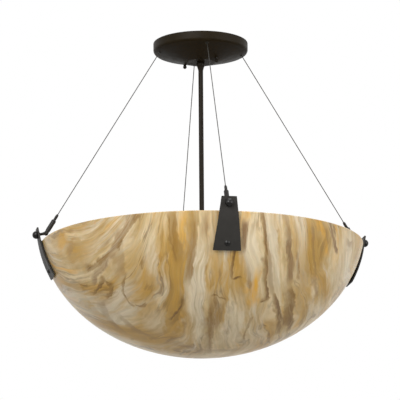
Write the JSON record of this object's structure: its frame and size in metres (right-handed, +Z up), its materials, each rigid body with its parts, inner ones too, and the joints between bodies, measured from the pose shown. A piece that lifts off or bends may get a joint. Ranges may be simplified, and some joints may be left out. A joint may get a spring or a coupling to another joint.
{
  "type": "pendant light",
  "caption": "Cable-hung bowl pendant light: round canopy, centre stem with a hang-straight swivel and lamp cluster, wide marbled bowl on bracket plates.",
  "frame": {"origin": "centre of the canopy's top, on the ceiling, at the centre of the outlet-box slots", "axes": "+Z up to the ceiling, +X through the right-hand bracket and along the long pair of box slots"},
  "size_m": [0.9662, 0.9662, 0.912],
  "materials": {
    "dark_bronze": "satin dark bronze",
    "zinc_steel": "zinc plated",
    "cable_steel": "dark wire rope",
    "marbled_shade": "marbled cream, amber and brown, satin gloss",
    "rubber": "matt black",
    "nylon": "matt natural",
    "porcelain": "glazed white",
    "brass": "plain",
    "bulb_glass": "frosted white"
  },
  "bodies": {
    "ceiling": {"ceiling_plate": "zinc_steel", "plate_studs": "zinc_steel", "locknuts": "zinc_steel", "canopy": "dark_bronze", "swivel_housing": "dark_bronze", "swivel_ring": "dark_bronze", "cable_bushings": "zinc_steel"},
    "canopy_knob_a": {"canopy_knob_a": "dark_bronze"},
    "canopy_knob_b": {"canopy_knob_b": "dark_bronze"},
    "swivel_washer": {"swivel_washer": "nylon"},
    "stem": {"swivel_ball": "dark_bronze", "stem": "dark_bronze", "cluster_body": "dark_bronze", "cluster_cover": "dark_bronze", "cluster_nuts": "zinc_steel", "lamp_contacts": "brass", "lampholder_1": "porcelain", "lampholder_2": "porcelain", "lampholder_3": "porcelain", "lampholder_4": "porcelain"},
    "bowl": {"bowl": "marbled_shade", "bracket_pads": "rubber", "bowl_screws": "dark_bronze", "bowl_washers": "rubber", "bowl_nuts": "zinc_steel", "eye_pins": "dark_bronze", "bracket_plate_right": "dark_bronze", "bracket_plate_back": "dark_bronze", "bracket_plate_left": "dark_bronze", "bracket_plate_front": "dark_bronze", "eye_bolt_right": "dark_bronze", "eye_bolt_back": "dark_bronze", "eye_bolt_left": "dark_bronze", "eye_bolt_front": "dark_bronze"},
    "bulb_1": {"bulb_1": "bulb_glass"},
    "bulb_2": {"bulb_2": "bulb_glass"},
    "bulb_3": {"bulb_3": "bulb_glass"},
    "bulb_4": {"bulb_4": "bulb_glass"},
    "bracket_knob_right": {"bracket_knob_right": "dark_bronze"},
    "bracket_knob_back": {"bracket_knob_back": "dark_bronze"},
    "bracket_knob_left": {"bracket_knob_left": "dark_bronze"},
    "bracket_knob_front": {"bracket_knob_front": "dark_bronze"},
    "cable_right": {"cable_right": "cable_steel", "cable_barrel_right": "dark_bronze", "cable_ferrule_right": "dark_bronze", "cable_stop_right": "cable_steel"},
    "cable_back": {"cable_back": "cable_steel", "cable_barrel_back": "dark_bronze", "cable_ferrule_back": "dark_bronze", "cable_stop_back": "cable_steel"},
    "cable_left": {"cable_left": "cable_steel", "cable_barrel_left": "dark_bronze", "cable_ferrule_left": "dark_bronze", "cable_stop_left": "cable_steel"},
    "cable_front": {"cable_front": "cable_steel", "cable_barrel_front": "dark_bronze", "cable_ferrule_front": "dark_bronze", "cable_stop_front": "cable_steel"}
  },
  "joints": [
    {"name": "canopy_knob_a_turn", "type": "hinge", "parent": "ceiling", "child": "canopy_knob_a", "pos_m": [-0.04002, 0.04002, -0.05941], "axis": [0, 0, 1], "continuous": true},
    {"name": "canopy_knob_b_turn", "type": "hinge", "parent": "ceiling", "child": "canopy_knob_b", "pos_m": [0.04002, -0.04002, -0.05941], "axis": [0, 0, 1], "continuous": true},
    {"name": "swivel_tilt_x", "type": "hinge", "parent": "ceiling", "child": "swivel_washer", "pos_m": [0, 0, -0.062], "axis": [1, 0, 0], "range_deg": [-8, 8]},
    {"name": "swivel_tilt_y", "type": "hinge", "parent": "swivel_washer", "child": "stem", "pos_m": [0, 0, -0.062], "axis": [0, 1, 0], "range_deg": [-8, 8]},
    {"name": "bulb_1_screw", "type": "hinge", "parent": "stem", "child": "bulb_1", "pos_m": [0, 0, -0.73], "axis": [0.6917, 0.6917, 0.2079], "range_deg": [-900, 0]},
    {"name": "bulb_2_screw", "type": "hinge", "parent": "stem", "child": "bulb_2", "pos_m": [0, 0, -0.73], "axis": [-0.6917, 0.6917, 0.2079], "range_deg": [-900, 0]},
    {"name": "bulb_3_screw", "type": "hinge", "parent": "stem", "child": "bulb_3", "pos_m": [0, 0, -0.73], "axis": [-0.6917, -0.6917, 0.2079], "range_deg": [-900, 0]},
    {"name": "bulb_4_screw", "type": "hinge", "parent": "stem", "child": "bulb_4", "pos_m": [0, 0, -0.73], "axis": [0.6917, -0.6917, 0.2079], "range_deg": [-900, 0]},
    {"name": "bowl_sway", "type": "hinge", "parent": "ceiling", "child": "bowl", "pos_m": [0, 0, 0.17079], "axis": [0, 1, 0], "range_deg": [-3, 3]},
    {"name": "bracket_knob_right_turn", "type": "hinge", "parent": "bowl", "child": "bracket_knob_right", "pos_m": [0.46136, 0, -0.5745], "axis": [0.9801, 0, -0.1987], "continuous": true},
    {"name": "bracket_knob_back_turn", "type": "hinge", "parent": "bowl", "child": "bracket_knob_back", "pos_m": [0, 0.46136, -0.5745], "axis": [0, 0.9801, -0.1987], "continuous": true},
    {"name": "bracket_knob_left_turn", "type": "hinge", "parent": "bowl", "child": "bracket_knob_left", "pos_m": [-0.46136, 0, -0.5745], "axis": [-0.9801, 0, -0.1987], "continuous": true},
    {"name": "bracket_knob_front_turn", "type": "hinge", "parent": "bowl", "child": "bracket_knob_front", "pos_m": [0, -0.46136, -0.5745], "axis": [0, -0.9801, -0.1987], "continuous": true},
    {"name": "cable_right_sway", "type": "hinge", "parent": "ceiling", "child": "cable_right", "pos_m": [0.11675, 0, -0.02417], "axis": [0, 1, 0], "range_deg": [-4.5, 4.5]},
    {"name": "cable_back_sway", "type": "hinge", "parent": "ceiling", "child": "cable_back", "pos_m": [0, 0.11675, -0.02417], "axis": [0, 1, 0], "range_deg": [-4.5, 4.5]},
    {"name": "cable_left_sway", "type": "hinge", "parent": "ceiling", "child": "cable_left", "pos_m": [-0.11675, 0, -0.02417], "axis": [0, 1, 0], "range_deg": [-4.5, 4.5]},
    {"name": "cable_front_sway", "type": "hinge", "parent": "ceiling", "child": "cable_front", "pos_m": [0, -0.11675, -0.02417], "axis": [0, 1, 0], "range_deg": [-4.5, 4.5]}
  ],
  "couplings": [
    {"joint": "cable_right_sway", "follows": "bowl_sway", "ratio": 1.3565},
    {"joint": "cable_back_sway", "follows": "bowl_sway", "ratio": 1.3565},
    {"joint": "cable_left_sway", "follows": "bowl_sway", "ratio": 1.3565},
    {"joint": "cable_front_sway", "follows": "bowl_sway", "ratio": 1.3565}
  ]
}
